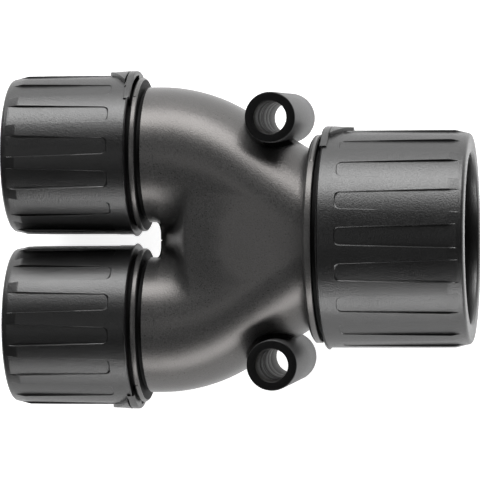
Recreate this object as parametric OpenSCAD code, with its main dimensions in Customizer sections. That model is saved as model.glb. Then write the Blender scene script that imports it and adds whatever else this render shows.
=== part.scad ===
// Y fitting for corrugated conduit: one trunk port, two parallel branch ports.
// Origin: on the trunk axis, level with the axes of the two mounting eyelets.
// +X runs out of the trunk port, +Y towards the upper branch, +Z out of the front.

/* [Conduits] */
// Outer diameter of the conduit that the trunk port takes
trunk_conduit_d = 34.5; // [33:0.1:36]
// Outer diameter of the conduits that the branch ports take
branch_conduit_d = 25.5; // [24.5:0.1:26.5]
// Radial clearance of a conduit in its mouth and socket
conduit_play = 0.25; // [0.15:0.05:0.5]

/* [Layout] */
// Gap between the rims of the two branch caps
branch_gap = 1.4; // [1.2:0.1:4]
// From the eyelet axes to the outer face of the trunk collar
trunk_collar_x = 9.0; // [8.5:0.1:12]
// From the eyelet axes to the outer face of the branch collars
branch_collar_x = 28.95; // [28:0.1:32]

/* [Body shell] */
// How far each branch tube stands outside its passage at the collar
branch_tube_step = 2.5; // [2.2:0.1:3]
// How far the shell's rounded sides stand outside the trunk passage
trunk_tube_step = 0.5; // [0.2:0.1:1]
// Half the width of the flat on top of the shell at the trunk collar
trunk_flat = 0.6; // [0.4:0.1:2]
// Wall of the shell, measured across the fitting
shell_wall = 2.6; // [2.3:0.1:2.9]
// Radius of the bend in the side outline of the shell
bend_r = 34.8; // [30:0.2:38]
// Straight run of a branch tube before its bend
branch_straight = 4; // [3:0.1:5]
// From the branch collars to the wall of the crotch
crotch_depth = 4.6; // [4:0.1:6]
// Half thickness of the web where it starts at the crotch
web_start = 1.8; // [1.5:0.1:4]
// Length of the steep part of the web, up to its knee
web_rise = 6.4; // [5:0.1:9]
// From the crotch to where the web reaches the full height of the tubes
web_tail = 15; // [12:0.5:18]
// How much longer the web is beside the crests of the tubes
web_stretch = 0.5; // [0:0.1:1]
// Half width of the web's ridge where it starts
ridge_half_w = 0.7; // [0.4:0.1:1.5]
// How much wider the ridge is, to each side, where it reaches full height
ridge_spread = 3.2; // [2:0.1:5]
// Width of each flank of the ridge
ridge_flank = 2.6; // [1.5:0.1:4]
// How sharply the web meets the tubes; a lower value gives a wider hollow
web_sharpness = 2.5; // [2:0.1:5]
// From the crotch wall to where the two inner passages join
passage_join = 8.5; // [7:0.1:10]

/* [Collars and necks] */
// Thickness of the trunk collar
trunk_collar_t = 1.2; // [1:0.1:2]
// Thickness of the branch collars
branch_collar_t = 1.35; // [1:0.05:2]
// Step from the trunk cap's rim in to the trunk collar
trunk_collar_inset = 1.35; // [0.4:0.05:1.6]
// Step from a branch cap's rim in to its collar
branch_collar_inset = 1.05; // [0.3:0.05:1.3]
// Edge break of the collars
collar_edge = 0.3; // [0.1:0.05:0.4]
// Wall of the trunk neck round its socket
trunk_neck_wall = 2.0; // [1.6:0.1:2.4]
// Wall of the branch necks round their sockets
branch_neck_wall = 1.4; // [1.2:0.1:1.6]
// Height of the shoulder that stops a conduit
stop_shoulder = 1.6; // [1.2:0.1:2]
// Arc of the raised segment on each collar
index_arc = 84; // [60:1:100]
// Height of the raised segment on each collar
index_step = 0.2; // [0.1:0.05:0.3]

/* [Caps] */
// Length of the trunk cap from the collar to its mouth
trunk_cap_l = 30.2; // [28:0.1:34]
// Length of the branch caps from the collar to their mouths
branch_cap_l = 26.6; // [25:0.1:30]
// Wall of the trunk cap under a grip rib
trunk_cap_wall = 2.95; // [2.4:0.05:3.4]
// Wall of the branch caps under a grip rib
branch_cap_wall = 2.25; // [1.9:0.05:2.6]
// Number of grip pockets round the trunk cap
trunk_grips = 19; // [14:1:22]
// Number of grip pockets round a branch cap
branch_grips = 15; // [11:1:17]
// Depth of the grip pockets
grip_depth = 0.55; // [0.3:0.05:0.7]
// Share of the pitch that a pocket takes at its closed end
grip_share = 0.46; // [0.4:0.01:0.55]
// Share of the pitch that a pocket takes at the mouth
grip_mouth_share = 0.66; // [0.55:0.01:0.75]
// Corner radius at the closed end of a pocket
grip_corner_r = 1.1; // [0.4:0.1:1.3]
// From the collar to the closed end of the pockets
grip_start = 4.45; // [4.2:0.05:6]
// Length of the ramp that ends each rib
grip_ramp = 1.9; // [1:0.1:2.5]
// Plain band between the ribs and the mouth
mouth_band = 0.75; // [0.5:0.05:1.5]
// How much a cap narrows from its rim to its mouth, on the radius
cap_taper = 0.4; // [0:0.05:0.6]
// Thickness of the cap's end wall round the mouth
end_wall = 3.2; // [3:0.1:4]
// Rounding of the cap's outer edge at the mouth
mouth_round = 1.4; // [0.8:0.1:1.6]
// Gap between a cap's rim and the collar
rim_gap = 0.75; // [0.6:0.05:1]
// Rounding of the rim edge
rim_round = 0.35; // [0.2:0.05:0.5]
// How far the rim's skirt reaches into the gap
skirt_reach = 0.4; // [0.2:0.05:0.5]
// Arc of the rim's skirt, from the middle of the pointer
skirt_arc = 46; // [30:1:60]

/* [Pointers] */
// Length of the pointer on each cap
pointer_l = 5.4; // [4:0.1:6]
// Half width of the pointer at the rim
pointer_half_w = 7.3; // [4:0.1:8]
// Half width of the pointer's blunt tip
pointer_tip = 0.7; // [0.3:0.1:1.5]
// Height of the pointer over the cap at the rim
pointer_h = 0.5; // [0.3:0.05:1]

/* [Turning lock] */
// Angle that a cap turns from locked to open
lock_turn = 45; // [30:1:60]
// Radial clearance between a cap and its neck
turn_play = 0.15; // [0.1:0.05:0.25]
// Depth of the neck groove that holds the cap's snap bead
groove_depth = 0.6; // [0.4:0.05:0.8]
// Width of the snap bead
bead_w = 1.2; // [0.8:0.1:1.6]
// Axial clearance of the snap bead in its groove
bead_play = 0.15; // [0.1:0.05:0.3]
// Height of the stop rib on the neck
stop_h = 0.8; // [0.5:0.05:0.9]
// Arc of the stop rib
stop_arc = 20; // [12:1:30]
// Arc of clearance at each end of the stop rib's travel
stop_play = 0.5; // [0.25:0.25:1]

/* [Seals and clamp rings] */
// Length of a seal
seal_l = 2.6; // [2:0.1:3]
// How far a seal's lip reaches inside the conduit's surface
seal_squeeze = 0.3; // [0.1:0.05:0.5]
// Length of the closed part of a clamp ring
ring_base_l = 1.6; // [1.2:0.1:2]
// Length of the claws
claw_l = 3.4; // [3:0.1:4.5]
// Number of claws on a clamp ring
claw_count = 4; // [3:1:5]
// Arc of each claw
claw_arc = 38; // [25:1:40]
// How far a claw's tooth reaches inside the conduit's surface
claw_bite = 0.9; // [0.5:0.1:1.2]
// Height of the cams that press on the claws
cam_h = 0.5; // [0.4:0.05:0.7]
// Clearance round the clamp ring and the claws
ring_play = 0.2; // [0.15:0.05:0.3]

/* [Eyelets] */
// How far each eyelet axis lies outside the shell's outline
eyelet_stand = 2.8; // [2.4:0.05:3.4]
// Outer diameter of the eyelets
eyelet_d = 10.25; // [9.6:0.05:11]
// Bore of the eyelets
eyelet_bore_d = 6.6; // [5.5:0.1:7]
// Length of the eyelets
eyelet_l = 31.6; // [30:0.1:34]
// Edge break at the ends of an eyelet
eyelet_edge = 0.25; // [0.1:0.05:0.4]
// Gap between an eyelet's free ends and the shell's flank
relief_gap = 1.05; // [0.6:0.05:1.4]
// Wall of the shell round that gap
relief_wall = 1.4; // [1.2:0.1:2]
// Half height of the web that joins an eyelet to the shell
relief_floor = 4; // [3:0.5:7]

/* [Hidden] */
$fn = 96;

BODY_COLOUR = "#303032";
CAP_COLOUR = "#27272a";
RING_COLOUR = "#3c3c40";
SEAL_COLOUR = "#18181a";

// Radii of one port, worked outwards from its conduit
function conduit_r(d) = d / 2;
function socket_r(d) = d / 2 + conduit_play;
function passage_r(d) = socket_r(d) - stop_shoulder;
function neck_r(d, wall) = socket_r(d) + wall;
function cap_bore_r(d, wall) = neck_r(d, wall) + turn_play;

trunk_neck_r = neck_r(trunk_conduit_d, trunk_neck_wall);
branch_neck_r = neck_r(branch_conduit_d, branch_neck_wall);
trunk_rim_r = trunk_neck_r + turn_play + trunk_cap_wall;
branch_rim_r = branch_neck_r + turn_play + branch_cap_wall;
branch_spacing = 2 * branch_rim_r + branch_gap;
relief_r = eyelet_d / 2 + relief_gap;
branch_tube_r = passage_r(branch_conduit_d) + branch_tube_step;
trunk_tube_r = passage_r(trunk_conduit_d) + trunk_tube_step;

// Stations along a port, measured outwards from its collar
end_play = 0.2;
groove_z = rim_gap + 5;
stop_z = rim_gap + 0.8;
stop_l = 2.2;
function neck_l(cap_l) =
    cap_l - end_wall - end_play - claw_l - ring_base_l - seal_l;

// Quarter of a circle as points, from angle a0 to a1
function arc(cx, cy, r, a0, a1, n) =
    [for (i = [0:n]) let (a = a0 + (a1 - a0) * i / n) [cx + r * cos(a), cy + r * sin(a)]];

// Smooth step from 0 to 1
function ease(t) = let (u = min(max(t, 0), 1)) u * u * (3 - 2 * u);

// The smaller of two depths, with the corner between them rounded off
function soft_min(a, b) =
    a > 0 && b > 0 ? (a ^ -web_sharpness + b ^ -web_sharpness) ^ (-1 / web_sharpness) : 0;

// Side outline of the shell: straight, a bend, then a straight run that is
// tangent to the bend and ends at the trunk collar
shell_x0 = -branch_collar_x + branch_collar_t / 2;
shell_x1 = trunk_collar_x - trunk_collar_t / 2;
bend_x = -branch_collar_x + branch_straight;
outline_y0 = branch_spacing / 2 + branch_tube_r;
outline_y1 = trunk_tube_r + trunk_flat;
bend_dx = shell_x1 - bend_x;
bend_dy = outline_y1 - (outline_y0 - bend_r);
bend_angle = atan2(bend_dx, bend_dy) - acos(bend_r / norm([bend_dx, bend_dy]));
bend_end_x = bend_x + bend_r * sin(bend_angle);

function outline_y(x) =
    x < bend_x ? outline_y0
    : x < bend_end_x ? outline_y0 - bend_r + sqrt(bend_r ^ 2 - (x - bend_x) ^ 2)
    : outline_y1 + (shell_x1 - x) * tan(bend_angle);

function side_r(x) =
    branch_tube_r
    + (trunk_tube_r - branch_tube_r) * ease((x - bend_x) / (shell_x1 - bend_x));

eyelet_y = outline_y(0) + eyelet_stand;

// Half of one section of the shell, on the +Y side, as [y, z] points from the
// web's edge over the tube and back underneath. inset is the depth below the
// outer skin, join_x the place where the two tubes meet and start_h the half
// thickness of the web there. The web has a ridge in the middle, a hollow on
// each side of it, and a shoulder behind them that spans both tubes.
INNER_STEPS = 9;
OUTER_STEPS = 8;
// Half thickness of each tube's inner edge just before the tubes meet, and the
// length over which the edges draw together
SLIT = 0.35;
CLOSE_L = 1.8;
// Share of the steep part that comes before the web's shoulder
SHOULDER = 0.2;
// Share of the web's height that it has at its knee
KNEE = 0.78;
// Part of the outer quarter circle that the upper points take over where the
// section is closed
CREST_ARC = 45;

// Share of its height that the web has at distance d from the crotch
function climb(d, rise, start) =
    KNEE * ease((d / rise - start) / (1 - start)) + (1 - KNEE) * ease(d / web_tail);

function section(x, inset, join_x, start_h, rise) =
    let (
        r = side_r(x) - inset,
        c = outline_y(x) - side_r(x),
        open = (1 - min(max((x - join_x + CLOSE_L) / CLOSE_L, 0), 1) ^ 3) ^ (1 / 3),
        y_in = (c - r) * open,
        drawn = ease((x - join_x + CLOSE_L) / CLOSE_L),
        t = min(max((x - join_x) / rise, 0), 1),
        even = climb(x - join_x, rise, 0),
        base = start_h + (SLIT - start_h) * open,
        half_w = ridge_half_w + ridge_spread * t,
        crest = CREST_ARC * even,
        y_out = c + r * sin(crest),
        inner = [
            for (i = [0:INNER_STEPS])
            let (
                b = 90 * i / INNER_STEPS,
                s = (1 - even) * (1 - cos(b)) + even * i / INNER_STEPS,
                y = y_in + (y_out - y_in) * s,
                tube_z = sqrt(max(r ^ 2 - (c - y) ^ 2, 0)),
                ridge = base + (r - base) * even * (1 - ease((y - half_w) / ridge_flank)),
                reach = (x - join_x) / (1 + web_stretch * (y / c) ^ 2),
                shoulder = base + (r - base) * climb(reach, rise, SHOULDER),
                h = max(shoulder, ridge),
                joined_z = r - soft_min(r - tube_z, r - h)
            )
            [y, y > c ? tube_z : max(tube_z, h) * (1 - drawn) + joined_z * drawn]
        ],
        outer = [
            for (i = [1:OUTER_STEPS])
            let (a = (90 - crest) * (1 - i / OUTER_STEPS)) [c + r * cos(a), r * sin(a)]
        ],
        top = concat(inner, outer),
        below = [for (i = [len(top) - 2:-1:0]) [top[i][0], -top[i][1]]]
    )
    concat(top, below);

// Faces that close one end loop of n points from point first on: upright
// strips between its upper and lower half, and a triangle at the outer edge
function end_faces(first, n, flip) =
    let (
        last = (n - 3) / 2,
        strips = [
            for (i = [0:last])
            i < last ? [i, n - 1 - i, n - 2 - i, i + 1] : [i, n - 1 - i, i + 1]
        ]
    )
    [
        for (s = strips)
        [for (k = [0:len(s) - 1]) first + s[flip ? len(s) - 1 - k : k]]
    ];

// Closed shell form through the sections at stations xs, mirrored about Y = 0.
// Where both halves reach Y = 0 they share their edge and need no wall there.
module shell_form(xs, inset, join_x, start_h, rise) {
    loops = [for (x = xs) section(x, inset, join_x, start_h, rise)];
    n = len(loops[0]);
    m = len(xs);
    points = [
        for (side = [1, -1])
        for (k = [0:m - 1])
        for (p = loops[k])
        [xs[k], side * p[0], p[1]]
    ];
    walls = [
        for (side = [0, 1])
        for (k = [0:m - 2])
        for (i = [0:n - 1])
        let (
            j = (i + 1) % n,
            a = side * m * n + k * n + i,
            b = side * m * n + k * n + j,
            c = b + n,
            d = a + n,
            open = i == n - 1 && xs[k] >= join_x
        )
        if (!open)
        for (f = side == 0 ? [[a, b, c], [a, c, d]] : [[b, a, d], [b, d, c]]) f
    ];
    ends = concat(
        end_faces(0, n, false),
        end_faces(m * n, n, true),
        end_faces((m - 1) * n, n, true),
        end_faces((2 * m - 1) * n, n, false)
    );
    polyhedron(points, concat(walls, ends), convexity = 8);
}

// Stations from x0 to x1, close together where the two tubes join
function stations(x0, x1, join_x, rise, steps) =
    concat(
        [x0],
        [for (t = [0, 0.4, 0.65, 0.82, 0.92, 0.98]) join_x - CLOSE_L * (1 - t)],
        [for (i = [0:steps]) join_x + rise * i / steps],
        [for (x = [join_x + rise + 2:2:x1 - 0.5]) x],
        [x1]
    );

crotch_x = -branch_collar_x + crotch_depth;
join_inner_x = crotch_x + passage_join;

module outer_skin() {
    shell_form(
        stations(shell_x0, shell_x1, crotch_x, web_rise, 8),
        0, crotch_x, web_start, web_rise
    );
}

module inner_skin() {
    shell_form(
        stations(shell_x0 - 2, shell_x1 + 2, join_inner_x, web_rise, 5),
        shell_wall, join_inner_x, web_start, web_rise
    );
}

// Places a port's own parts: z runs out of the port, the pointer lies at x
module at_trunk() {
    translate([trunk_collar_x, 0, 0]) rotate([0, 90, 0]) rotate(90) children();
}

module at_upper_branch() {
    translate([-branch_collar_x, branch_spacing / 2, 0])
    rotate([0, -90, 0]) rotate(90) children();
}

module at_lower_branch() {
    translate([-branch_collar_x, -branch_spacing / 2, 0])
    rotate([0, -90, 0]) rotate(-90) children();
}

// Collar, neck with its socket and snap groove, and the stop rib
module neck(d, wall, collar_r, collar_t, cap_l) {
    rn = neck_r(d, wall);
    rs = socket_r(d);
    ln = neck_l(cap_l);
    g0 = groove_z - bead_play;
    g1 = groove_z + bead_w + bead_play;
    lead = 0.5;
    rotate_extrude() polygon([
        [passage_r(d), -collar_t],
        [collar_r - collar_edge, -collar_t],
        [collar_r, -collar_t + collar_edge],
        [collar_r, -collar_edge],
        [collar_r - collar_edge, 0],
        [rn, 0],
        [rn, g0],
        [rn - groove_depth, g0],
        [rn - groove_depth, g1],
        [rn, g1],
        [rn, ln - lead],
        [rn - lead, ln],
        [rs, ln],
        [rs, stop_shoulder],
        [passage_r(d), stop_shoulder]
    ]);
    // raised segment of the collar, from the open mark to beyond the pointer
    rotate(lock_turn - 3)
    rotate_extrude(angle = -index_arc) polygon([
        [collar_r - 1, -collar_t + collar_edge],
        [collar_r + index_step, -collar_t + collar_edge],
        [collar_r + index_step, -collar_edge],
        [collar_r - 1, -collar_edge]
    ]);
    // stop rib
    rotate(180 - stop_arc / 2)
    rotate_extrude(angle = stop_arc) polygon([
        [rn - wall / 2, stop_z],
        [rn + stop_h, stop_z],
        [rn + stop_h, stop_z + stop_l],
        [rn - wall / 2, stop_z + stop_l]
    ]);
}

// Upright cylinder round the axis of an eyelet
module eyelet_column(side, r, z0, z1) {
    translate([0, side * eyelet_y, z0]) cylinder(r = r, h = z1 - z0);
}

module eyelet(side) {
    r = eyelet_d / 2;
    h = eyelet_l / 2;
    translate([0, side * eyelet_y, 0]) rotate_extrude() polygon([
        [0, -h],
        [r - eyelet_edge, -h],
        [r, -h + eyelet_edge],
        [r, h - eyelet_edge],
        [r - eyelet_edge, h],
        [0, h]
    ]);
}

module y_body() {
    color(BODY_COLOUR) difference() {
        union() {
            difference() {
                outer_skin();
                difference() {
                    inner_skin();
                    for (side = [-1, 1])
                    eyelet_column(side, relief_r + relief_wall, -eyelet_l, eyelet_l);
                }
                for (side = [-1, 1]) {
                    eyelet_column(side, relief_r, relief_floor, eyelet_l);
                    eyelet_column(side, relief_r, -eyelet_l, -relief_floor);
                }
            }
            at_trunk() neck(
                trunk_conduit_d, trunk_neck_wall,
                trunk_rim_r - trunk_collar_inset, trunk_collar_t, trunk_cap_l
            );
            at_upper_branch() neck(
                branch_conduit_d, branch_neck_wall,
                branch_rim_r - branch_collar_inset, branch_collar_t, branch_cap_l
            );
            at_lower_branch() neck(
                branch_conduit_d, branch_neck_wall,
                branch_rim_r - branch_collar_inset, branch_collar_t, branch_cap_l
            );
            for (side = [-1, 1]) eyelet(side);
        }
        for (side = [-1, 1]) eyelet_column(side, eyelet_bore_d / 2, -eyelet_l, eyelet_l);
    }
}

// Prism that stands on the cap's side at angle 0: outline in [z, y], walls
// running out along x
module side_prism(outline, x0, x1) {
    translate([x0, 0, 0]) rotate([0, 90, 0]) linear_extrude(x1 - x0)
    polygon([for (p = outline) [-p[0], p[1]]]);
}

// Outline of a grip pocket: rounded at its closed end, wider at the mouth
function pocket_outline(z0, z1, half0, half1) = concat(
    arc(z0 + grip_corner_r, half0 - grip_corner_r, grip_corner_r, 90, 180, 5),
    arc(z0 + grip_corner_r, grip_corner_r - half0, grip_corner_r, 180, 270, 5),
    [[z1, -half1], [z1, half1]]
);

// Cap: turned form with grip pockets, pointer, skirt, snap bead, stop window
// and cams
module cap(d, neck_wall, rim_r, cap_l, grips) {
    rb = cap_bore_r(d, neck_wall);
    rn = neck_r(d, neck_wall);
    rm = socket_r(d);
    mouth_r = rim_r - cap_taper;
    band_r = mouth_r - grip_depth - 0.08;
    ramp_z = cap_l - mouth_band - mouth_round - grip_ramp;
    wall_z = cap_l - end_wall;
    pitch = 360 / grips;
    half0 = rim_r * pitch * grip_share * PI / 360;
    half1 = rim_r * pitch * grip_mouth_share * PI / 360;
    claw_z = neck_l(cap_l) + seal_l + ring_base_l;
    cam_r = rb - cam_h;
    lip = 0.4;
    difference() {
        union() {
            rotate_extrude() polygon(concat(
                [[rb, rim_gap]],
                arc(rim_r - rim_round, rim_gap + rim_round, rim_round, -90, 0, 4),
                [[mouth_r, ramp_z], [band_r, ramp_z + grip_ramp]],
                arc(band_r - mouth_round, cap_l - mouth_round, mouth_round, 0, 90, 8),
                [
                    [rm + lip, cap_l],
                    [rm, cap_l - lip],
                    [rm, wall_z],
                    [rb, wall_z]
                ]
            ));
            // snap bead
            rotate_extrude() polygon([
                [rn - groove_depth + turn_play, groove_z],
                [rb + 0.3, groove_z],
                [rb + 0.3, groove_z + bead_w],
                [rn - groove_depth + turn_play, groove_z + bead_w]
            ]);
            // cams over the claws
            for (i = [0:claw_count - 1])
            rotate(360 * i / claw_count - claw_arc / 2)
            rotate_extrude(angle = claw_arc) polygon([
                [cam_r, claw_z + ring_play],
                [rb + 0.3, claw_z + ring_play],
                [rb + 0.3, wall_z + 0.5],
                [cam_r, wall_z + 0.5]
            ]);
        }
        for (i = [0:grips - 1])
        rotate(pitch * (i + 0.5))
        intersection() {
            rotate_extrude() polygon([
                [rim_r - grip_depth, grip_start - 1],
                [rim_r + 2, grip_start - 1],
                [rim_r + 2, cap_l + 1],
                [mouth_r - grip_depth, cap_l + 1]
            ]);
            side_prism(
                pocket_outline(grip_start, cap_l + 2, half0, half1),
                rim_r / 2, rim_r + 3
            );
        }
        // window that the neck's stop rib runs in
        rotate(180 - stop_arc / 2 - stop_play - lock_turn)
        rotate_extrude(angle = stop_arc + 2 * stop_play + lock_turn) polygon([
            [rb - 1, stop_z - ring_play],
            [rn + stop_h + turn_play, stop_z - ring_play],
            [rn + stop_h + turn_play, stop_z + stop_l + ring_play],
            [rb - 1, stop_z + stop_l + ring_play]
        ]);
    }
    // pointer
    intersection() {
        rotate_extrude() polygon([
            [rb + 0.5, rim_gap - skirt_reach],
            [rim_r + pointer_h - 0.2, rim_gap - skirt_reach],
            [rim_r + pointer_h, rim_gap + 0.2],
            [rim_r + pointer_h * 0.5, rim_gap + pointer_l],
            [rb + 0.5, rim_gap + pointer_l]
        ]);
        side_prism(
            [
                [0, -pointer_half_w],
                [rim_gap, -pointer_half_w],
                [rim_gap + pointer_l, -pointer_tip],
                [rim_gap + pointer_l, pointer_tip],
                [rim_gap, pointer_half_w],
                [0, pointer_half_w]
            ],
            rb / 2, rim_r + 3
        );
    }
    // skirt that closes the gap beside the pointer
    rotate(-skirt_arc)
    rotate_extrude(angle = skirt_arc) polygon([
        [rb + 0.2, rim_gap - skirt_reach],
        [rim_r - 0.1, rim_gap - skirt_reach],
        [rim_r - 0.1, rim_gap + 1],
        [rb + 0.2, rim_gap + 1]
    ]);
}

// Clamp ring: a closed base with sprung claws that bite behind a corrugation
module clamp_ring(d, neck_wall, cap_l) {
    rb = cap_bore_r(d, neck_wall);
    rc = conduit_r(d);
    z0 = neck_l(cap_l) + seal_l;
    z1 = z0 + ring_base_l;
    z2 = z1 + claw_l;
    claw_r = rb - cam_h - turn_play;
    rotate_extrude() polygon([
        [socket_r(d), z0],
        [rb - ring_play, z0],
        [rb - ring_play, z1],
        [socket_r(d), z1]
    ]);
    for (i = [0:claw_count - 1])
    rotate(360 * i / claw_count - claw_arc / 2 + 1)
    rotate_extrude(angle = claw_arc - 2) polygon([
        [rc + 0.1, z1 - ring_base_l / 2],
        [claw_r, z1 - ring_base_l / 2],
        [claw_r, z2],
        [rc - claw_bite + 0.5, z2],
        [rc - claw_bite, z2 - 0.5],
        [rc - claw_bite, z2 - 1.1],
        [rc + 0.1, z2 - 1.9]
    ]);
}

// Seal: rubber ring with a lip, between the neck's end and the clamp ring
module seal(d, neck_wall, cap_l) {
    rb = cap_bore_r(d, neck_wall);
    rc = conduit_r(d);
    z0 = neck_l(cap_l);
    z1 = z0 + seal_l;
    rotate_extrude() polygon([
        [socket_r(d), z0],
        [rb - ring_play, z0],
        [rb - ring_play, z1],
        [socket_r(d), z1],
        [rc - seal_squeeze, z0 + seal_l * 0.6],
        [rc - seal_squeeze, z0 + seal_l * 0.4]
    ]);
}

module trunk_cap() {
    color(CAP_COLOUR) at_trunk()
    cap(trunk_conduit_d, trunk_neck_wall, trunk_rim_r, trunk_cap_l, trunk_grips);
}

module upper_branch_cap() {
    color(CAP_COLOUR) at_upper_branch()
    cap(branch_conduit_d, branch_neck_wall, branch_rim_r, branch_cap_l, branch_grips);
}

module lower_branch_cap() {
    color(CAP_COLOUR) at_lower_branch()
    cap(branch_conduit_d, branch_neck_wall, branch_rim_r, branch_cap_l, branch_grips);
}

module trunk_clamp_ring() {
    color(RING_COLOUR) at_trunk()
    clamp_ring(trunk_conduit_d, trunk_neck_wall, trunk_cap_l);
}

module upper_branch_clamp_ring() {
    color(RING_COLOUR) at_upper_branch()
    clamp_ring(branch_conduit_d, branch_neck_wall, branch_cap_l);
}

module lower_branch_clamp_ring() {
    color(RING_COLOUR) at_lower_branch()
    clamp_ring(branch_conduit_d, branch_neck_wall, branch_cap_l);
}

module trunk_seal() {
    color(SEAL_COLOUR) at_trunk()
    seal(trunk_conduit_d, trunk_neck_wall, trunk_cap_l);
}

module upper_branch_seal() {
    color(SEAL_COLOUR) at_upper_branch()
    seal(branch_conduit_d, branch_neck_wall, branch_cap_l);
}

module lower_branch_seal() {
    color(SEAL_COLOUR) at_lower_branch()
    seal(branch_conduit_d, branch_neck_wall, branch_cap_l);
}

y_body();
trunk_cap();
upper_branch_cap();
lower_branch_cap();
trunk_clamp_ring();
upper_branch_clamp_ring();
lower_branch_clamp_ring();
trunk_seal();
upper_branch_seal();
lower_branch_seal();
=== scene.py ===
"""Looks of the conduit Y fitting: detailed body and caps, black moulded plastic, studio."""
import math

import bpy
import numpy as np
from mathutils import Matrix, Vector


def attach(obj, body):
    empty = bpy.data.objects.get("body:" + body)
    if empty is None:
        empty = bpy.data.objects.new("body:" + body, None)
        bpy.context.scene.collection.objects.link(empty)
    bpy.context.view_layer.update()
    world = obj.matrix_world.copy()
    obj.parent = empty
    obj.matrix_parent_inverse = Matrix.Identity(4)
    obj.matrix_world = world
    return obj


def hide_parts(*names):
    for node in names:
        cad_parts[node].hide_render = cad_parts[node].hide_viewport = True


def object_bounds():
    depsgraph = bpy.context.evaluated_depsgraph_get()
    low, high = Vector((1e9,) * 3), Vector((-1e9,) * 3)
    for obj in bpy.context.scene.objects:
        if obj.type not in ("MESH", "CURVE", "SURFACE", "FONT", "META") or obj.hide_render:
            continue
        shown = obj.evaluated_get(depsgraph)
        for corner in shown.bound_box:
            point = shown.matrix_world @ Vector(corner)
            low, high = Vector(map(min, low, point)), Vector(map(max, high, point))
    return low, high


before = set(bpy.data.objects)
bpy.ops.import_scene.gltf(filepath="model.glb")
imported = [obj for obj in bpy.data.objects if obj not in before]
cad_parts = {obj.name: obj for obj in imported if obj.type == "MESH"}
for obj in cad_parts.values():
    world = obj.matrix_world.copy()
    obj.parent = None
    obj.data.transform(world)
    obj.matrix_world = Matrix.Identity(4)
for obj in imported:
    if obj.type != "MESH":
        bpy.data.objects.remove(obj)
cad_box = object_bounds()

# Sizes are in mm and turns in degrees, as in the part's source. Blender's own are in metres.
MM = 0.001

# Collars' places along x, and the branch axes' distance from the trunk axis
COLLAR_X, BRANCH_X, BRANCH_Y = 9.0, -28.95, 17.5
COLLAR_T = 1.2

# Body: tubes, bend, web in the crotch and the ridge on it
TUBE_R, TRUNK_R, TRUNK_FLAT, WALL = 13.9, 16.4, 0.6, 2.6
BEND_R, STRAIGHT = 34.8, 4.0
CROTCH_X, WEB_START, WEB_RISE, WEB_TAIL = -24.35, 1.8, 6.4, 15.0
WEB_STRETCH, WEB_SHARPNESS, SHOULDER, KNEE = 0.5, 2.5, 0.2, 0.78
CLOSE_L, SLIT, CREST_ARC = 1.8, 0.35, 45
SMOOTH_X, SMOOTH_L, SMOOTH_W = 3.5, 5.5, 8.5
RIDGE_HALF, RIDGE_SPREAD, RIDGE_FLANK = 0.7, 3.2, 2.6
JOIN_INNER_X = CROTCH_X + 8.5
SHELL_X0, SHELL_X1 = BRANCH_X + 2.0, COLLAR_X - COLLAR_T / 2

# Eyelets, and the relief in the body round them
EYELET_R, EYELET_BORE_R, EYELET_L, EYELET_STAND = 5.125, 3.3, 31.6, 2.8
RELIEF_R, RELIEF_WALL, RELIEF_FLOOR, BURIED_R = EYELET_R + 1.05, 1.4, 4.0, 4.2
RELIEF_STEP, RELIEF_SOFT = 0.6, 0.3
BORE_RINGS, BORE_RING_DEPTH = (9.6, 5.2, 3.4, -2.0, -6.5), 0.03

# Caps: rim, grip pockets, mouth, pointer, bead and skirt on the rim
RIM_GAP, RIM_ROUND, END_WALL, TAPER, LIP = 0.75, 0.35, 3.2, 0.4, 0.4
GRIP_DEPTH, GRIP_START, GRIP_CORNER = 0.55, 4.45, 1.1
GRIP_SHARE, GRIP_MOUTH_SHARE = 0.48, 0.69
GRIP_WALL_W, GRIP_WALL_OUT = 0.12, 0.05
MOUTH_RAMP, MOUTH_ROUND, MOUTH_DROP = 2.5, 0.8, 0.08
POINTER_L, POINTER_HALF, POINTER_TIP, POINTER_H, POINTER_EDGE = 5.4, 7.8, 0.7, 0.5, 0.08
BEAD_L, BEAD_SPAN, TRIM_INSET = 1.15, 32, 0.04
SKIRT, SKIRT_L, SKIRT_ARC = 0.4, 0.9, 46

# Lock: plays, snap groove, stop rib, index segment, clamp ring, seal and cams
CONDUIT_PLAY, TURN_PLAY, BEAD_PLAY, END_PLAY = 0.25, 0.15, 0.15, 0.2
SNAP_Z, SNAP_W, SNAP_DEPTH = RIM_GAP + 5, 1.2, 0.6
STOP_Z, STOP_L, STOP_H, STOP_HALF_ARC = RIM_GAP + 0.8, 2.2, 0.8, 10
INDEX_H, INDEX_HALF_ARC = 0.15, 42
STOP_SHOULDER = 1.6
CLAW_L, RING_BASE_L, SEAL_L = 3.4, 1.6, 2.6
CAMS, CAM_H, CAM_HALF_ARC = 4, 0.5, 19


def port(conduit_d, neck_wall, cap_wall, cap_l, grips, collar_inset, band, flank):
    """The radii and lengths of one port, worked outwards from its conduit.

    band is where the collar's outer face begins and ends. flank is the collar's far side, with
    each corner as its drop below that face, its z and its rounding.
    """
    socket = conduit_d / 2 + CONDUIT_PLAY
    neck = socket + neck_wall
    bore = neck + TURN_PLAY
    rim = bore + cap_wall
    return dict(
        socket=socket, passage=socket - STOP_SHOULDER, neck=neck, bore=bore, rim=rim,
        collar=rim - collar_inset, band=band, flank=flank, cap_l=cap_l, grips=grips,
        neck_l=cap_l - END_WALL - END_PLAY - CLAW_L - RING_BASE_L - SEAL_L,
    )


TRUNK = port(
    conduit_d=34.5, neck_wall=2.0, cap_wall=2.95, cap_l=30.2, grips=19, collar_inset=1.35,
    band=(-1.6, -0.35), flank=[(0.8, -2.1, 0.2)],
)
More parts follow.
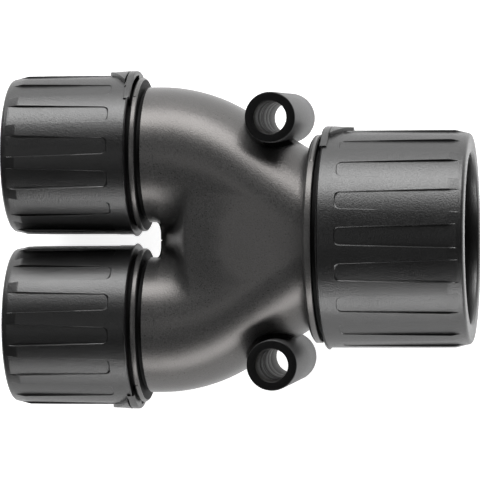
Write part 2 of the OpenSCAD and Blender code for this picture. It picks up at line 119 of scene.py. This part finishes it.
# the flank of a branch collar has a groove in it
BRANCH = port(
    conduit_d=25.5, neck_wall=1.4, cap_wall=2.25, cap_l=26.6, grips=15, collar_inset=1.05,
    band=(-1.05, 0),
    flank=[(1.87, -2.6, 0), (1.87, -2.0, 0.15), (2.85, -2.0, 0.1), (2.85, -1.05, 0.1)],
)

# Port frames: the port's x, y and z axes, and its place. z runs out of the port, and the pointer
# lies at x.
PLACES = {
    "trunk": (((0, 1, 0), (0, 0, 1), (1, 0, 0)), (COLLAR_X, 0, 0)),
    "upper_branch": (((0, 1, 0), (0, 0, -1), (-1, 0, 0)), (BRANCH_X, BRANCH_Y, 0)),
    "lower_branch": (((0, -1, 0), (0, 0, 1), (-1, 0, 0)), (BRANCH_X, -BRANCH_Y, 0)),
}
PORTS = {"trunk": TRUNK, "upper_branch": BRANCH, "lower_branch": BRANCH}


def placed(points, place):
    axes, origin = PLACES[place]
    return np.asarray(points, float) @ np.array(axes, float) + np.array(origin, float)


# Mesh helpers
def make(name, parts, sharp=40.0):
    """One mesh object from [(points in mm, faces), ...]; steeper edges than sharp stay sharp."""
    verts, faces, base = [], [], 0
    for pts, part_faces in parts:
        verts.append(np.asarray(pts, float) * MM)
        faces += [[base + i for i in face] for face in part_faces]
        base += len(pts)
    mesh = bpy.data.meshes.new(name)
    mesh.from_pydata(np.concatenate(verts).tolist(), [], faces)
    mesh.validate()
    mesh.update()
    mesh.shade_smooth()
    mesh.set_sharp_from_angle(angle=math.radians(sharp))
    obj = bpy.data.objects.new(name, mesh)
    bpy.context.scene.collection.objects.link(obj)
    return obj


def grid_faces(rows, cols, wrap_rows=False, wrap_cols=True):
    """Faces of a grid of points that are listed row by row."""
    faces = []
    for r in range(rows if wrap_rows else rows - 1):
        this, following = r * cols, (r + 1) % rows * cols
        for c in range(cols if wrap_cols else cols - 1):
            d = (c + 1) % cols
            faces.append((this + c, this + d, following + d, following + c))
    return faces


def rounded(corners, steps):
    """The closed profile of corners (a, b, rounding), with each rounded corner as an arc."""
    out, n = [], len(corners)
    for i in range(n):
        p, a, b = (np.array(corners[k % n][:2], float) for k in (i, i - 1, i + 1))
        r = corners[i][2]
        u, v = a - p, b - p
        lu, lv = np.linalg.norm(u), np.linalg.norm(v)
        u, v = u / lu, v / lv
        half = math.acos(max(-1, min(1, float(u @ v)))) / 2
        nearly_straight = half > math.radians(86)
        if r <= 0 or nearly_straight:
            out.append(tuple(p))
            continue
        # an arc takes less than half of each edge beside it
        t = min(r / math.tan(half), 0.48 * lu, 0.48 * lv)
        r = t * math.tan(half)
        centre = p + (u + v) / np.linalg.norm(u + v) * (r / math.sin(half))
        start, end = p + u * t - centre, p + v * t - centre
        w0, w1 = math.atan2(start[1], start[0]), math.atan2(end[1], end[0])
        turned = (w1 - w0 + math.pi) % (2 * math.pi) - math.pi
        for k in range(steps + 1):
            w = w0 + turned * k / steps
            out.append((centre[0] + r * math.cos(w), centre[1] + r * math.sin(w)))
    return out


def bar(r0, r1, z0, z1, roundings, steps):
    """Rounded rectangle from r0 to r1 and z0 to z1; roundings at r0 z0, r1 z0, r1 z1, r0 z1."""
    corners = ((r0, z0), (r1, z0), (r1, z1), (r0, z1))
    return rounded([(*corner, q) for corner, q in zip(corners, roundings)], steps)


def swept(shapes, degrees, closed=False):
    """Points and faces of closed profiles of (r, z), anticlockwise, one at each angle about z."""
    rows, cols = len(shapes[0]), len(shapes)
    angles = np.radians(degrees)
    pts = []
    for i in range(rows):
        for shape, a in zip(shapes, angles):
            r, z = shape[i]
            pts.append((r * math.cos(a), r * math.sin(a), z))
    faces = grid_faces(rows, cols, wrap_rows=True, wrap_cols=closed)
    if not closed:
        faces.append([r * cols for r in range(rows)])
        faces.append([r * cols + cols - 1 for r in range(rows - 1, -1, -1)])
    return pts, faces


def lathe(profile, segments):
    return swept([profile] * segments, 360 * np.arange(segments) / segments, closed=True)


def ease(t):
    t = np.clip(t, 0, 1)
    return t * t * (3 - 2 * t)


def spaced(a, b, step):
    """Even steps of about the given length from a to b, both included."""
    m = max(1, round((b - a) / step))
    return [a] + [a + (b - a) * i / m for i in range(1, m + 1)]


# Body shell: its outline bends in from each branch to a straight run that ends at the trunk
BEND_X = BRANCH_X + STRAIGHT
OUT_Y0, OUT_Y1 = BRANCH_Y + TUBE_R, TRUNK_R + TRUNK_FLAT
BEND_DX, BEND_DY = SHELL_X1 - BEND_X, OUT_Y1 - (OUT_Y0 - BEND_R)
BEND_A = math.atan2(BEND_DX, BEND_DY) - math.acos(BEND_R / math.hypot(BEND_DX, BEND_DY))
BEND_END = BEND_X + BEND_R * math.sin(BEND_A)


def outline_y(x):
    if x < BEND_X:
        return OUT_Y0
    if x < BEND_END:
        return OUT_Y0 - BEND_R + np.sqrt(max(BEND_R**2 - (x - BEND_X) ** 2, 0))
    return OUT_Y1 + (SHELL_X1 - x) * math.tan(BEND_A)


def side_r(x):
    return TUBE_R + (TRUNK_R - TUBE_R) * float(ease((x - BEND_X) / (SHELL_X1 - BEND_X)))


def climb(d, start):
    """Share of its height that the web has at distance d from the crotch."""
    steep = ease((d / WEB_RISE - start) / (1 - start))
    return KNEE * steep + (1 - KNEE) * ease(d / WEB_TAIL)


def section(x, inset, join_x, inner, outer):
    """Half a section of the shell on the +Y side, from the web's edge over and back underneath."""
    r, c = side_r(x) - inset, outline_y(x) - side_r(x)
    # how far the two tubes are still open towards each other, and how far the web has climbed
    open_ = (1 - min(max((x - join_x + CLOSE_L) / CLOSE_L, 0), 1) ** 3) ** (1 / 3)
    y_in = (c - r) * open_
    t = min(max((x - join_x) / WEB_RISE, 0), 1)
    drawn = float(ease((x - join_x + CLOSE_L) / CLOSE_L))
    even = float(climb(x - join_x, 0))
    base = WEB_START + (SLIT - WEB_START) * open_
    crest = math.radians(CREST_ARC) * even
    # from the web's edge to the tube's crest
    i = np.arange(inner + 1) / inner
    s = (1 - even) * (1 - np.cos(i * math.pi / 2)) + even * i
    y = y_in + (c + r * math.sin(crest) - y_in) * s
    ridge = base + (r - base) * even * (1 - ease((y - RIDGE_HALF - RIDGE_SPREAD * t) / RIDGE_FLANK))
    tube = np.sqrt(np.maximum(r * r - (c - y) ** 2, 0))
    reach = (x - join_x) / (1 + WEB_STRETCH * (y / c) ** 2)
    web = np.maximum(base + (r - base) * climb(reach, SHOULDER), ridge)
    # tube and web melt into one another
    depths = np.maximum([r - tube, r - web], 1e-6)
    joined = r - (depths ** -WEB_SHARPNESS).sum(0) ** (-1 / WEB_SHARPNESS)
    z = np.where(y > c, tube, np.maximum(tube, web) * (1 - drawn) + joined * drawn)
    # from the crest round the outer side
    a = (math.pi / 2 - crest) * (1 - np.arange(1, outer + 1) / outer)
    top = np.concatenate([np.stack([y, z], 1), np.stack([c + r * np.cos(a), r * np.sin(a)], 1)])
    below = top[-2::-1] * [1, -1]
    return np.concatenate([top, below])


def smoothed(pts, faces, join_x, rounds):
    """The points with the web near the crotch evened out, and the rest as it was."""
    x, y = pts[:, 0] - join_x, pts[:, 1]
    near = np.exp(-(((x - SMOOTH_X) / SMOOTH_L) ** 2 + (y / SMOOTH_W) ** 2) ** 2)
    near *= ease((x + 0.4) / 0.8)
    edges = np.array([(f[a], f[(a + 1) % 4]) for f in faces for a in range(4)])
    for _ in range(rounds):
        total, count = np.zeros_like(pts), np.zeros(len(pts))
        for a, b in ((0, 1), (1, 0)):
            np.add.at(total, edges[:, a], pts[edges[:, b]])
            np.add.at(count, edges[:, a], 1)
        mean = total / np.maximum(count, 1)[:, None]
        pts = pts + (mean - pts) * (0.5 * near)[:, None]
    return pts


def skin(xs, inset, join_x, inner, outer, rounds):
    """Both halves of one skin as a welded surface, open at its ends, with the crotch smoothed."""
    loops = [section(x, inset, join_x, inner, outer) for x in xs]
    joined = [x >= join_x for x in xs]
    n = len(loops[0])
    pts, faces, index = [], [], {}
    for side in (1, -1):
        for k, loop in enumerate(loops):
            for i, (y, z) in enumerate(loop):
                shared = joined[k] and i in (0, n - 1)
                if shared and side == -1:
                    index[side, k, i] = index[1, k, i]
                else:
                    index[side, k, i] = len(pts)
                    pts.append((xs[k], side * y, z))
    for side in (1, -1):
        for k in range(len(xs) - 1):
            for i in range(n):
                if i == n - 1 and joined[k]:
                    continue
                j = (i + 1) % n
                corners = ((k, i), (k, j), (k + 1, j), (k + 1, i))
                face = [index[side, row, place] for row, place in corners]
                faces.append(face if side == 1 else face[::-1])
    return smoothed(np.array(pts), faces, join_x, rounds), faces


def stations(join_x, fine, coarse, closing):
    """Where sections stand along x, closest where the tubes join and where the web climbs."""
    last = [(1 - (1 - i / closing) ** 3) ** (1 / 3) for i in range(1, closing + 1)]
    shares = [0, 0.12, 0.24, 0.34, 0.44] + [v for v in last if v > 0.5]
    before = spaced(SHELL_X0, join_x - CLOSE_L, coarse)[:-1]
    shut = [join_x - CLOSE_L * (1 - v) for v in shares]
    web = spaced(join_x, join_x + WEB_RISE, fine)[1:]
    after = spaced(join_x + WEB_RISE, SHELL_X1, coarse)[1:]
    return before + shut + web + after


EYELET_Y = outline_y(0) + EYELET_STAND


def clear_of_eyelets(pts, radius):
    """Moves the points nearer to an eyelet's axis than radius(z) straight out from the axis."""
    pts = np.array(pts)
    soft = RELIEF_SOFT
    for side in (1, -1):
        axis = np.array([0, side * EYELET_Y])
        off = pts[:, :2] - axis
        d = np.maximum(np.linalg.norm(off, axis=1), 1e-6)
        reach = radius(np.abs(pts[:, 2]))
        g = np.maximum(soft - np.abs(d - reach), 0) / soft
        target = np.maximum(d, reach) + g * g * soft / 4
        moved = axis + off * (target / d)[:, None]
        pts[:, :2] = np.where((d < reach + soft)[:, None], moved, pts[:, :2])
    return pts


def relief(z):
    """Outside, the skin goes into the eyelet near the middle and keeps clear of it further out."""
    out = ease((z - RELIEF_FLOOR + RELIEF_STEP / 2) / RELIEF_STEP)
    return BURIED_R + (RELIEF_R - BURIED_R) * out


def relief_inside(z):
    """Inside, the skin keeps a wall's thickness further out at every height."""
    return np.full_like(z, RELIEF_R + RELIEF_WALL)


outer_pts, outer_faces = skin(
    stations(CROTCH_X, fine=0.25, coarse=0.32, closing=16),
    inset=0, join_x=CROTCH_X, inner=44, outer=60, rounds=8,
)
inner_pts, inner_faces = skin(
    stations(JOIN_INNER_X, fine=0.6, coarse=1.0, closing=8),
    inset=WALL, join_x=JOIN_INNER_X, inner=20, outer=24, rounds=3,
)
body_shell = make("body_shell", [
    (clear_of_eyelets(outer_pts, relief), outer_faces),
    (clear_of_eyelets(inner_pts, relief_inside), [face[::-1] for face in inner_faces]),
])


# Necks with their collars
def neck_profile(p):
    r, s, n, passage, length = p["collar"], p["socket"], p["neck"], p["passage"], p["neck_l"]
    g0, g1 = SNAP_Z - BEAD_PLAY, SNAP_Z + SNAP_W + BEAD_PLAY
    far, near = p["band"]
    return rounded([
        (passage, p["flank"][0][1], 0.2),
        *[(r - drop, z, q) for drop, z, q in p["flank"]],
        (r, far, 0.3), (r, near, 0.25), (n, near, 0.1),
        (n, g0, 0.15), (n - SNAP_DEPTH, g0, 0.1), (n - SNAP_DEPTH, g1, 0.1), (n, g1, 0.15),
        (n, length, 0.5), (s, length, 0.2), (s, STOP_SHOULDER, 0.2),
        (passage, STOP_SHOULDER, 0.3),
    ], 5)


def index_segment(p):
    """The raised segment of the collar, whose sunk ends are the index marks."""
    r, (far, near) = p["collar"], p["band"]
    shape = bar(r - 1, r + INDEX_H, far + 0.2, near - 0.1, (0, 0.3, 0.3, 0), 4)
    sunk = [(q - 0.3, z) for q, z in shape]
    turns = np.linspace(-INDEX_HALF_ARC, INDEX_HALF_ARC, 85)
    return swept([sunk, *[shape] * (len(turns) - 2), sunk], turns)


def stop_rib(p):
    n = p["neck"]
    shape = bar(n - 1, n + STOP_H, STOP_Z, STOP_Z + STOP_L, (0, 0.15, 0.15, 0), 2)
    turns = np.linspace(180 - STOP_HALF_ARC, 180 + STOP_HALF_ARC, 13)
    return swept([shape] * len(turns), turns)


def paint_shade_in_deep_faces(neck, place, p):
    """Painted shade: material 1, near black, on the bottoms of the gap beside the cap and of the
    groove in the flank, where shade falls.
    """
    axes, origin = (np.array(v, float) for v in PLACES[place])
    far, near = p["band"]
    grooved = len(p["flank"]) > 1
    for polygon in neck.data.polygons:
        x, y, z = (np.array(polygon.center) / MM - origin) @ axes.T
        deep = math.hypot(x, y) < p["collar"] - 0.4
        in_groove = grooved and p["flank"][1][1] < z < far + 0.05
        polygon.material_index = int(deep and (z > near - 0.05 or in_groove))


necks = []
for place, p in PORTS.items():
    shapes = [lathe(neck_profile(p), 192), index_segment(p), stop_rib(p)]
    neck = make(f"{place}_neck", [(placed(pts, place), faces) for pts, faces in shapes])
    # paint shade on the bottoms of the gap and the groove
    paint_shade_in_deep_faces(neck, place, p)
    necks.append(neck)


# Eyelets, with shallow turned rings in their bores
def eyelet_profile():
    h, b, deep = EYELET_L / 2, EYELET_BORE_R, EYELET_BORE_R + BORE_RING_DEPTH
    profile = bar(b, EYELET_R, -h, h, (0.25, 0.3, 0.3, 0.25), 4)
    for z in BORE_RINGS:
        profile += [(b, z), (deep, z - 0.12), (deep, z - 0.5), (b, z - 0.62)]
    return profile


eyelets = []
for name, side in (("upper_eyelet", 1), ("lower_eyelet", -1)):
    pts, faces = lathe(eyelet_profile(), 128)
    eyelets.append(make(name, [(np.array(pts) + (0, side * EYELET_Y, 0), faces)]))


# Caps
def cap_rows(p, phase):
    """Rings of (angle, r, z) up the outside of a cap, from the rim to the ramp at the mouth."""
    rim, length, grips = p["rim"], p["cap_l"], p["grips"]
    mouth = rim - TAPER
    band = mouth - GRIP_DEPTH - MOUTH_DROP
    ramp_z = length - MOUTH_ROUND - MOUTH_RAMP
    grip_l = length + 2 - GRIP_START
    pitch = 2 * math.pi / grips
    half0, half1 = rim * pitch * GRIP_SHARE / 2, rim * pitch * GRIP_MOUTH_SHARE / 2

    # distances of the columns from a pocket's edge, dense at the edge; the ends are cut short
    offsets = np.array([
        -9, -1.5, -0.85, -0.5, -0.3, -0.18, -0.12, -0.08, -0.06, -0.04, -0.02,
        0, 0.02, 0.04, 0.06, 0.1, 0.5, 9,
    ])
    # heights of the rows, dense at the closed end of the pockets and at the ramp
    heights = np.unique(np.round(np.concatenate([
        np.linspace(RIM_GAP + RIM_ROUND, GRIP_START - 0.3, 5),
        np.linspace(GRIP_START - 0.25, GRIP_START + 0.3, 15),
        np.linspace(GRIP_START + 0.3, GRIP_START + 1.3, 13),
        np.linspace(GRIP_START + 1.3, ramp_z - 0.3, 18),
        np.linspace(ramp_z - 0.3, ramp_z + 0.3, 7),
        np.linspace(ramp_z + 0.3, ramp_z + MOUTH_RAMP, 9),
    ]), 4))

    def floor_r(z):
        return rim - GRIP_DEPTH + (mouth - rim) * ((z - GRIP_START + 1) / grip_l)

    def skin_r(z):
        taper = rim + (mouth - rim) * (z - RIM_GAP) / (ramp_z - RIM_GAP)
        down = mouth + (band - mouth) * np.clip((z - ramp_z) / MOUTH_RAMP, 0, 1)
        soft = 0.12
        h = np.maximum(soft - np.abs(taper - down), 0) / soft
        return np.minimum(taper, down) - h * h * soft / 4

    rows = []
    for z in heights:
        half = half0 + (half1 - half0) * max((z - GRIP_START) / grip_l, 0)
        rib_half = rim * pitch / 2 - half
        inside = -np.minimum(-offsets, half)
        outside = np.minimum(offsets, rib_half)
        # across runs from 0 at the pocket's middle, d is the distance outside its outline
        across = half + np.where(offsets < 0, inside, outside)
        dx = across - (half - GRIP_CORNER)
        dz = GRIP_START + GRIP_CORNER - z
        at_corner = (dx > 0) & (dz > 0)
        d = np.where(at_corner, np.hypot(dx, dz), np.maximum(dx, dz)) - GRIP_CORNER
        cut = np.clip((GRIP_WALL_OUT - d) / GRIP_WALL_W, 0, 1)
        top = float(skin_r(z))
        r = top - max(top - floor_r(z), 0) * cut
        ang = across / rim
        left, right = np.stack([-ang[:0:-1], r[:0:-1]], 1), np.stack([ang, r], 1)[:-1]
        one = np.concatenate([left, right])
        rows.append([(pitch * (j + 0.5) + phase + a, q, z) for j in range(grips) for a, q in one])
    return rows


def cap_inside(p):
    """Two runs of (r, z): round the mouth to the end wall, and over the snap bead to the rim."""
    bore, socket, neck, length = p["bore"], p["socket"], p["neck"], p["cap_l"]
    band = p["rim"] - TAPER - GRIP_DEPTH - MOUTH_DROP
    wall_z = length - END_WALL
    mouth = []
    for w in np.linspace(0, math.pi / 2, 9)[1:]:
        r = band - MOUTH_ROUND + MOUTH_ROUND * math.cos(w)
        mouth.append((r, length - MOUTH_ROUND + MOUTH_ROUND * math.sin(w)))
    mouth += [
        (socket + LIP + 0.15, length), (socket + LIP - 0.05, length - 0.06),
        (socket + 0.05, length - LIP + 0.02), (socket, length - LIP - 0.15),
        (socket, wall_z + 0.1), (socket + 0.1, wall_z), (bore - 0.1, wall_z), (bore, wall_z - 0.1),
    ]
    # snap bead, and the edge at the rim
    bead = [
        (bore, SNAP_Z + 1.3), (neck - 0.4, SNAP_Z + 1.15), (neck - 0.45, SNAP_Z + 1.05),
        (neck - 0.45, SNAP_Z + 0.1), (neck - 0.4, SNAP_Z), (bore, SNAP_Z - 0.1),
        (bore, RIM_GAP + 0.15), (bore + 0.12, RIM_GAP),
    ]
    for w in np.linspace(-math.pi / 2, 0, 6)[:-1]:
        r = p["rim"] - RIM_ROUND + RIM_ROUND * math.cos(w)
        bead.append((r, RIM_GAP + RIM_ROUND + RIM_ROUND * math.sin(w)))
    return mouth, bead


def cap_shell(p, phase):
    """The turned form of a cap with its grip pockets."""
    rows = cap_rows(p, phase)
    mouth, bead = cap_inside(p)
    pts = []
    for ring in rows:
        pts += [(r * math.cos(a), r * math.sin(a), z) for a, r, z in ring]
    for profile, ring in ((mouth, rows[-1]), (bead, rows[0])):
        for r, z in profile:
            pts += [(r * math.cos(a), r * math.sin(a), z) for a, _, _ in ring]
    count = len(rows) + len(mouth) + len(bead)
    return pts, grid_faces(count, len(rows[0]), wrap_rows=True)


def pointer(rim):
    """An arrow bent round the rim, with its base along the bead and its edges sunk in the cap."""
    foot, tip = RIM_GAP + BEAD_L + 0.1, RIM_GAP + POINTER_L
    zs = [
        foot, foot, foot + 0.08, foot + 0.3, *np.linspace(foot + 0.6, tip - 0.12, 16),
        tip - 0.04, tip, tip,
    ]
    us = [-1, -1, *np.linspace(-1, 1, 25), 1, 1]
    pts = []
    for row, z in enumerate(zs):
        t = (z - foot) / (tip - foot)
        half = POINTER_HALF + (POINTER_TIP - POINTER_HALF) * t
        at_end = row == 1 or row > len(zs) - 3
        top = rim + POINTER_H * (1 - 0.5 * t) - (0.06 if at_end else 0)
        for col, u in enumerate(us):
            from_side = min(col, len(us) - 1 - col)
            if from_side == 0 or row in (0, len(zs) - 1):
                r = rim - 1
            else:
                r = top - (POINTER_EDGE if from_side == 1 else 0)
            bevelled = from_side > 1 and abs(u) == 1
            across = u * (half - (POINTER_EDGE if bevelled else 0))
            pts.append((r * math.cos(across / rim), r * math.sin(across / rim), z))
    return pts, grid_faces(len(zs), len(us), wrap_cols=False)


def rim_trim(p):
    """The bead, where the rim's edge swells to the pointer's height, and the skirt beside it."""
    rim, reach = p["rim"], RIM_GAP - SKIRT

    def edge(height, low, high):
        top = rim - TRIM_INSET + height
        return bar(p["bore"] + 0.2, top, low, high, (0.1, 0.35, 0.25, 0), 5)

    turns = np.linspace(-BEAD_SPAN, BEAD_SPAN, 61)
    swell = POINTER_H * (1 - ease((np.abs(turns) / BEAD_SPAN - 0.35) / 0.65))
    bead = swept([edge(h * 1.08, reach, RIM_GAP + BEAD_L) for h in swell], turns)
    skirt = edge(0, reach, RIM_GAP + SKIRT_L)
    short = edge(0, RIM_GAP, RIM_GAP + SKIRT_L)
    turns = np.linspace(-SKIRT_ARC, 0, SKIRT_ARC + 1)
    return [bead, swept([short, *[skirt] * SKIRT_ARC], turns)]


def cams(p):
    """The four cams inside the end wall, over the clamp ring's claws."""
    wall_z = p["cap_l"] - END_WALL
    claw_z = p["neck_l"] + SEAL_L + RING_BASE_L + END_PLAY
    shape = bar(p["bore"] - CAM_H, p["bore"] + 0.3, claw_z, wall_z + 0.5, (0.2, 0, 0, 0), 3)
    turns = np.linspace(-CAM_HALF_ARC, CAM_HALF_ARC, 25)
    return [swept([shape] * len(turns), turns + 360 / CAMS * i) for i in range(CAMS)]


caps = []
for (place, p), phase in zip(PORTS.items(), (1.7, 1.1, 1.1)):
    shell = cap_shell(p, math.radians(phase))
    shapes = [shell, pointer(p["rim"]), *rim_trim(p), *cams(p)]
    parts = [(placed(pts, place), faces) for pts, faces in shapes]
    caps.append(make(f"{place}_cap_ribbed", parts, sharp=50))

# Materials: grain, its colour speckle, and the broad variation of gloss
SPECKLE, UNEVEN, SPREAD = 0.5, 0.12, (0.25, 0.75)
GRAIN_HEIGHT = 0.05 * MM
BROAD_SCALE, BROAD_DETAIL, GRAIN_DETAIL, GRAIN_SHARE = 90, 4, 3, 0.6
WARM = (1.0, 0.95, 0.92)


def plastic(name, colour, rough, grain, grain_scale, specular=0.5, tint=(1, 1, 1)):
    """Moulded plastic: fine eroded grain with speckled colour, and broad variation of gloss."""
    mat = bpy.data.materials.new(name)
    mat.use_nodes = True
    nodes, links = mat.node_tree.nodes, mat.node_tree.links
    shader = nodes["Principled BSDF"]
    shader.inputs["Specular IOR Level"].default_value = specular
    shader.inputs["Specular Tint"].default_value = (*tint, 1)
    coords = nodes.new("ShaderNodeTexCoord")

    def noise(scale, detail):
        node = nodes.new("ShaderNodeTexNoise")
        node.inputs["Scale"].default_value = scale
        node.inputs["Detail"].default_value = detail
        links.new(coords.outputs["Object"], node.inputs["Vector"])
        return node

    fine = noise(grain_scale, GRAIN_DETAIL)
    broad = noise(BROAD_SCALE, BROAD_DETAIL)
    spread = nodes.new("ShaderNodeMapRange")
    spread.inputs["From Min"].default_value = SPREAD[0]
    spread.inputs["From Max"].default_value = SPREAD[1]
    links.new(fine.outputs["Fac"], spread.inputs["Value"])
    tone = nodes.new("ShaderNodeMix")
    tone.data_type = "RGBA"
    tone.inputs["A"].default_value = (*[c * (1 - SPECKLE) for c in colour], 1)
    tone.inputs["B"].default_value = (*[c * (1 + SPECKLE) for c in colour], 1)
    links.new(spread.outputs["Result"], tone.inputs["Factor"])
    links.new(tone.outputs["Result"], shader.inputs["Base Color"])
    uneven = nodes.new("ShaderNodeMix")
    uneven.inputs["Factor"].default_value = GRAIN_SHARE
    links.new(broad.outputs["Fac"], uneven.inputs["A"])
    links.new(spread.outputs["Result"], uneven.inputs["B"])
    gloss = nodes.new("ShaderNodeMapRange")
    gloss.inputs["To Min"].default_value = rough - UNEVEN
    gloss.inputs["To Max"].default_value = rough + UNEVEN
    links.new(uneven.outputs["Result"], gloss.inputs["Value"])
    links.new(gloss.outputs["Result"], shader.inputs["Roughness"])
    bump = nodes.new("ShaderNodeBump")
    bump.inputs["Strength"].default_value = grain
    bump.inputs["Distance"].default_value = GRAIN_HEIGHT
    links.new(fine.outputs["Fac"], bump.inputs["Height"])
    links.new(bump.outputs["Normal"], shader.inputs["Normal"])
    return mat


body_mat = plastic(
    "body_plastic", (0.031, 0.0308, 0.0306),
    rough=0.33, grain=0.6, grain_scale=3600, specular=0.55, tint=WARM)
cap_mat = plastic(
    "cap_plastic", (0.003, 0.003, 0.0031),
    rough=0.37, grain=0.8, grain_scale=3400, specular=0.55)
face_mat = plastic(
    "eyelet_face_plastic", (0.002, 0.002, 0.0021),
    rough=0.4, grain=0.5, grain_scale=3000, specular=0.15)
side_mat = plastic(
    "eyelet_side_plastic", (0.026, 0.026, 0.0265),
    rough=0.5, grain=0.2, grain_scale=3000)
bore_mat = plastic(
    "eyelet_bore_plastic", (0.014, 0.0135, 0.012),
    rough=0.5, grain=0.4, grain_scale=3000, specular=0.1, tint=WARM)
# Near-black painted shade for the bottoms of the necks' gaps and grooves, standing in for the shade
# there, not a plastic of its own
painted_shade_mat = plastic(
    "gap_painted_shade", (0.0015, 0.0015, 0.0015),
    rough=0.6, grain=0.4, grain_scale=3000, specular=0.1)
ring_mat = plastic(
    "ring_plastic", (0.03, 0.03, 0.032),
    rough=0.45, grain=0.3, grain_scale=2200)
seal_mat = plastic(
    "seal_rubber", (0.01, 0.01, 0.0105),
    rough=0.6, grain=0.3, grain_scale=3000)

for o in [body_shell, *necks, *eyelets]:
    o.data.materials.append(body_mat)
    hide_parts("y_body")
    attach(o, "fitting")
# Each neck's second material is the painted shade on its deep faces
for o in necks:
    o.data.materials.append(painted_shade_mat)
for o, side in zip(eyelets, (1, -1)):
    for extra in (face_mat, side_mat, bore_mat):
        o.data.materials.append(extra)
    for polygon in o.data.polygons:
        off = math.hypot(polygon.center.x, polygon.center.y - side * EYELET_Y * MM)
        at_end = abs(polygon.normal.z) > 0.6 and abs(polygon.center.z) > 12 * MM
        outside = off > (EYELET_R - 0.2) * MM
        polygon.material_index = 1 if at_end else 2 if outside else 3
for o, node, body in zip(caps, ("trunk_cap", "upper_branch_cap", "lower_branch_cap"),
                         ("trunk_lock", "upper_branch_lock", "lower_branch_lock")):
    o.data.materials.append(cap_mat)
    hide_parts(node)
    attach(o, body)
for place in PLACES:
    for kind, mat in (("clamp_ring", ring_mat), ("seal", seal_mat)):
        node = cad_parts[f"{place}_{kind}"]
        node.data.materials.clear()
        node.data.materials.append(mat)


# Studio, with places and sizes in metres and powers in watts
FLOOR_SIZE, FLOOR_DROP, FLOOR_GLOW, FLOOR_COLOUR = 30.0, 0.0002, 0.7, (0.85, 0.85, 0.85)
WORLD_STRENGTH = 0.04


def studio_white(name, colour, glow):
    """Pale surface that the camera and reflections see as white, and that keeps the shadow."""
    mat = bpy.data.materials.new(name)
    mat.use_nodes = True
    nodes, links = mat.node_tree.nodes, mat.node_tree.links
    shader = nodes["Principled BSDF"]
    shader.inputs["Base Color"].default_value = (*colour, 1)
    shader.inputs["Roughness"].default_value = 0.9
    shader.inputs["Emission Color"].default_value = (1, 1, 1, 1)
    path = nodes.new("ShaderNodeLightPath")
    seen = path.outputs["Is Camera Ray"]
    for ray in ("Is Transmission Ray", "Is Glossy Ray"):
        either = nodes.new("ShaderNodeMath")
        either.operation = "MAXIMUM"
        links.new(seen, either.inputs[0])
        links.new(path.outputs[ray], either.inputs[1])
        seen = either.outputs[0]
    level = nodes.new("ShaderNodeMath")
    level.operation = "MULTIPLY"
    level.inputs[1].default_value = glow
    links.new(seen, level.inputs[0])
    links.new(level.outputs[0], shader.inputs["Emission Strength"])
    return mat


def floor(z):
    mesh = bpy.data.meshes.new("floor")
    s = FLOOR_SIZE / 2
    mesh.from_pydata([(-s, -s, 0), (s, -s, 0), (s, s, 0), (-s, s, 0)], [], [(0, 1, 2, 3)])
    mesh.materials.append(studio_white("floor_paper", FLOOR_COLOUR, FLOOR_GLOW))
    obj = bpy.data.objects.new("floor", mesh)
    obj.location = (0, 0, z)
    bpy.context.scene.collection.objects.link(obj)


def softbox(name, location, size, power):
    """A rectangular lamp that faces the middle of the object."""
    light = bpy.data.lights.new(name, "AREA")
    light.shape = "RECTANGLE"
    light.size, light.size_y = size
    light.energy = power
    obj = bpy.data.objects.new(name, light)
    obj.location = location
    aim = Vector() - Vector(location)
    obj.rotation_euler = aim.to_track_quat("-Z", "Y").to_euler()
    bpy.context.scene.collection.objects.link(obj)


floor(cad_box[0].z - FLOOR_DROP)
softbox("key_above", location=(0, 0.65, 0.28), size=(0.75, 0.42), power=11.0)
softbox("key_below", location=(0.15, -0.63, 0.27), size=(0.8, 0.30), power=6.3)
softbox("front_fill", location=(-0.36, 0, 0.94), size=(0.3, 0.3), power=0.45)

world = bpy.data.worlds.new("studio")
bpy.context.scene.world = world
world.use_nodes = True
background = world.node_tree.nodes["Background"]
background.inputs["Color"].default_value = (1, 1, 1, 1)
background.inputs["Strength"].default_value = WORLD_STRENGTH

# Camera, fitted to the photograph
CAMERA_PLACE = (0.10316, 0.01977, 0.75164)
CAMERA_YAW, CAMERA_PITCH, CAMERA_ROLL = 8.455, 1.499, 0.431


def turn(yaw, pitch, roll):
    y, p, r = (math.radians(v) for v in (yaw, pitch, roll))
    ry = Matrix(((math.cos(y), 0, -math.sin(y)), (0, 1, 0), (math.sin(y), 0, math.cos(y))))
    rx = Matrix(((1, 0, 0), (0, math.cos(p), -math.sin(p)), (0, math.sin(p), math.cos(p))))
    rz = Matrix(((math.cos(r), -math.sin(r), 0), (math.sin(r), math.cos(r), 0), (0, 0, 1)))
    return rz @ rx @ ry


camera_data = bpy.data.cameras.new("camera")
camera_data.sensor_width = 36
camera_data.lens = 277.65
camera_data.clip_start, camera_data.clip_end = 0.01, 20
camera = bpy.data.objects.new("camera", camera_data)
facing = turn(CAMERA_YAW, CAMERA_PITCH, CAMERA_ROLL).transposed().to_4x4()
camera.matrix_world = Matrix.Translation(CAMERA_PLACE) @ facing
bpy.context.scene.collection.objects.link(camera)
bpy.context.scene.camera = camera
bpy.context.scene.view_settings.view_transform = "Standard"
